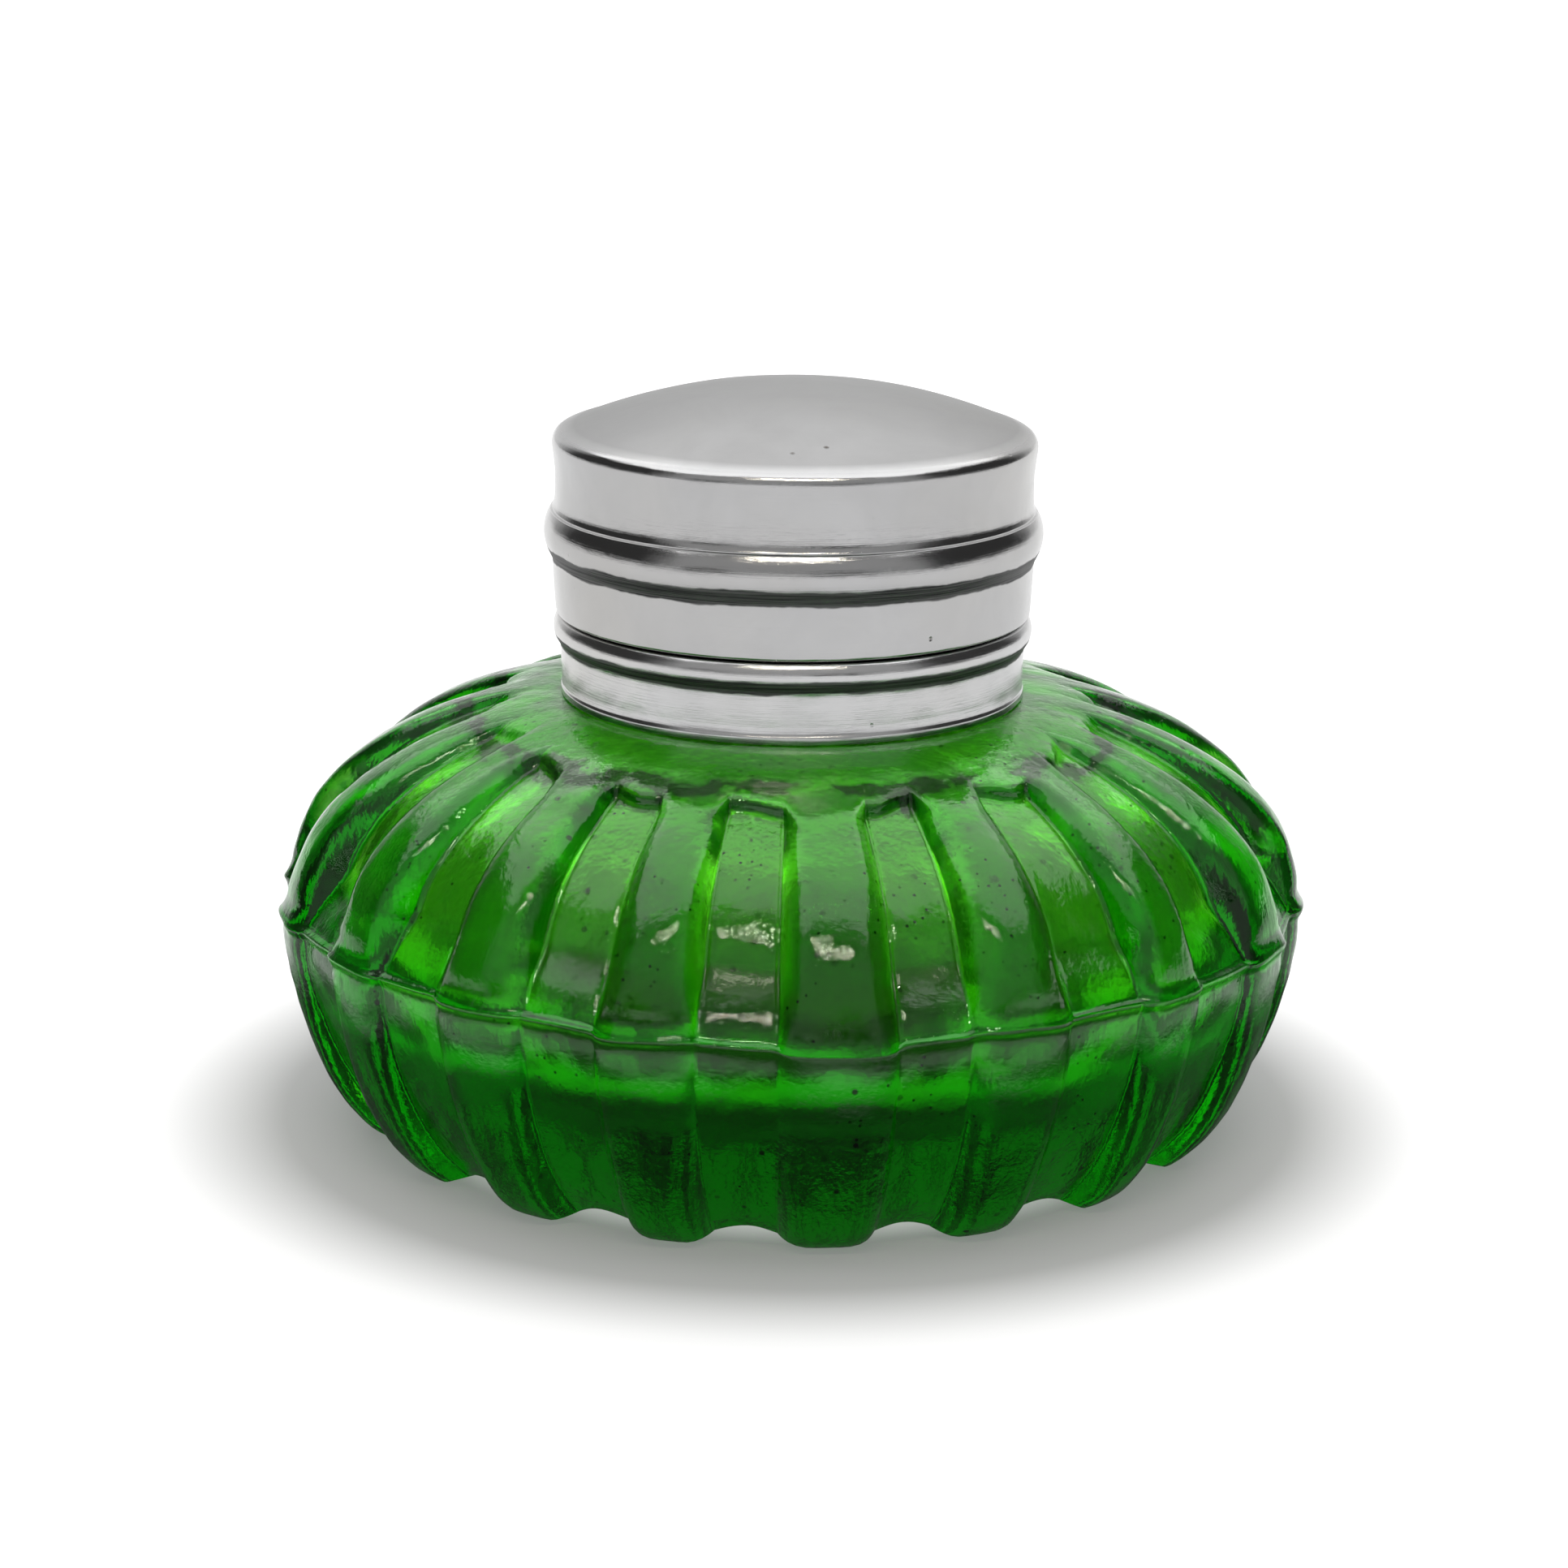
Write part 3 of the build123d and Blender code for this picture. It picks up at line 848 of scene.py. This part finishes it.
def backdrop():
    """A plain pale wall all round, seen by the camera alone, so the room's lights stay out of view."""
    radius = 5.5
    sides = 64
    foot = -0.01
    top = 6.0
    turns = [2 * math.pi * i / sides for i in range(sides)]
    rim = [(radius * math.cos(turn), radius * math.sin(turn)) for turn in turns]
    corners = [(x, y, z) for z in (foot, top) for x, y in rim]
    faces = [(i, (i + 1) % sides, sides + (i + 1) % sides, sides + i) for i in range(sides)]
    mesh = bpy.data.meshes.new("backdrop")
    mesh.from_pydata(corners, [], [*faces, tuple(range(sides, 2 * sides))])
    wall = bpy.data.objects.new("backdrop", mesh)
    bpy.context.scene.collection.objects.link(wall)
    m = Material("backdrop_pale", Base_Color=(0.0, 0.0, 0.0), Roughness=0.9, Emission_Color=(1.0, 1.0, 1.0))
    m.set("Emission Strength", 1.0)
    mesh.materials.append(m.material)
    wall.visible_diffuse = False
    wall.visible_glossy = False
    wall.visible_transmission = False
    wall.visible_shadow = False


def studio_world():
    """A pale room: bright behind, dim in front, with a dark band and two windows at the horizon."""
    world = bpy.data.worlds.new("studio")
    bpy.context.scene.world = world
    world.use_nodes = True
    tree = world.node_tree
    tree.nodes.clear()

    def math_node(operation, a, b=0.0, c=0.0):
        node = tree.nodes.new("ShaderNodeMath")
        node.operation = operation
        for i, value in enumerate((a, b, c)):
            if isinstance(value, bpy.types.NodeSocket):
                tree.links.new(value, node.inputs[i])
            else:
                node.inputs[i].default_value = value
        return node.outputs[0]

    def between(value, first, second, soft):
        rise = math_node("MULTIPLY_ADD", value, 1 / soft, -first / soft)
        fall = math_node("MULTIPLY_ADD", value, -1 / soft, second / soft)
        both = math_node("MINIMUM", rise, fall)
        return math_node("MINIMUM", math_node("MAXIMUM", both, 0.0), 1.0)

    def blend(share, a, b):
        return math_node("ADD", math_node("MULTIPLY", share, math_node("SUBTRACT", b, a)), a)

    direction = tree.nodes.new("ShaderNodeTexCoord").outputs["Generated"]
    parts = tree.nodes.new("ShaderNodeSeparateXYZ")
    tree.links.new(direction, parts.inputs[0])
    x, y, z = parts.outputs
    elevation = math_node("MULTIPLY", math_node("ARCSINE", z), 180 / math.pi)
    # degrees from straight in front (-Y), positive towards +X
    turn = math_node("MULTIPLY", math_node("ARCTAN2", x, math_node("MULTIPLY", y, -1.0)), 180 / math.pi)
    away = math_node("ABSOLUTE", turn)
    behind = between(away, 128.0, 400.0, 24.0)
    in_front = between(away, -100.0, 72.0, 16.0)
    room = blend(behind, 0.05, 0.85)
    room = blend(in_front, room, 0.45)
    top = between(elevation, 38.0, 200.0, 20.0)
    room = blend(top, room, 0.25)
    band = math_node("MULTIPLY", between(away, -10.0, 52.0, 1.0), between(elevation, -2.0, 9.0, 0.6))
    room = blend(band, room, 0.02)
    left_window = math_node("MULTIPLY", between(turn, -31.0, 10.0, 1.0), between(elevation, 3.0, 6.0, 0.5))
    right_window = math_node("MULTIPLY", between(turn, 34.0, 50.0, 1.0), between(elevation, 3.0, 6.0, 0.5))
    room = blend(math_node("MAXIMUM", left_window, right_window), room, 1.6)
    background = tree.nodes.new("ShaderNodeBackground")
    tree.links.new(room, background.inputs["Strength"])
    background.inputs["Color"].default_value = (1, 1, 1, 1)
    output = tree.nodes.new("ShaderNodeOutputWorld")
    tree.links.new(background.outputs[0], output.inputs["Surface"])


def area_light(name, place, target, width, height, radiance, colour=(1, 1, 1)):
    data = bpy.data.lights.new(name, "AREA")
    data.shape = "RECTANGLE"
    data.size = width
    data.size_y = height
    data.energy = radiance * math.pi * width * height
    data.color = colour
    light = bpy.data.objects.new(name, data)
    light.location = place
    light.rotation_mode = "QUATERNION"
    light.rotation_quaternion = (Vector(target) - Vector(place)).to_track_quat("-Z", "Y")
    bpy.context.scene.collection.objects.link(light)
    return light


def camera():
    elevation = math.radians(15.04)
    distance = 0.3206
    aim_height = 0.02618
    side = -0.00055
    roll = math.radians(0.6)
    data = bpy.data.cameras.new("camera")
    data.sensor_width = 36
    data.lens = 93.93
    data.clip_start = 0.01
    data.clip_end = 20
    eye = bpy.data.objects.new("camera", data)
    eye.location = (side, -distance * math.cos(elevation), aim_height + distance * math.sin(elevation))
    look = Vector((0, math.cos(elevation), -math.sin(elevation)))
    upright = look.to_track_quat("-Z", "Y").to_matrix().to_4x4()
    eye.rotation_mode = "QUATERNION"
    eye.rotation_quaternion = (upright @ Matrix.Rotation(roll, 4, "Z")).to_quaternion()
    bpy.context.scene.collection.objects.link(eye)
    bpy.context.scene.camera = eye


floor()
backdrop()
studio_world()
area_light("overhead_softbox", (0, 0.17, 0.5), (0, 0.17, 0), 0.9, 0.8, 1.7)
area_light("front_strip", (0.0, -0.42, 0.50), (0, 0, 0.025), 0.34, 0.012, 60.0, (1.0, 0.93, 0.78))
camera()

scene = bpy.context.scene
scene.view_settings.view_transform = "Standard"
scene.cycles.use_denoising = True
scene.cycles.max_bounces = 24
scene.cycles.transmission_bounces = 20
scene.cycles.glossy_bounces = 8
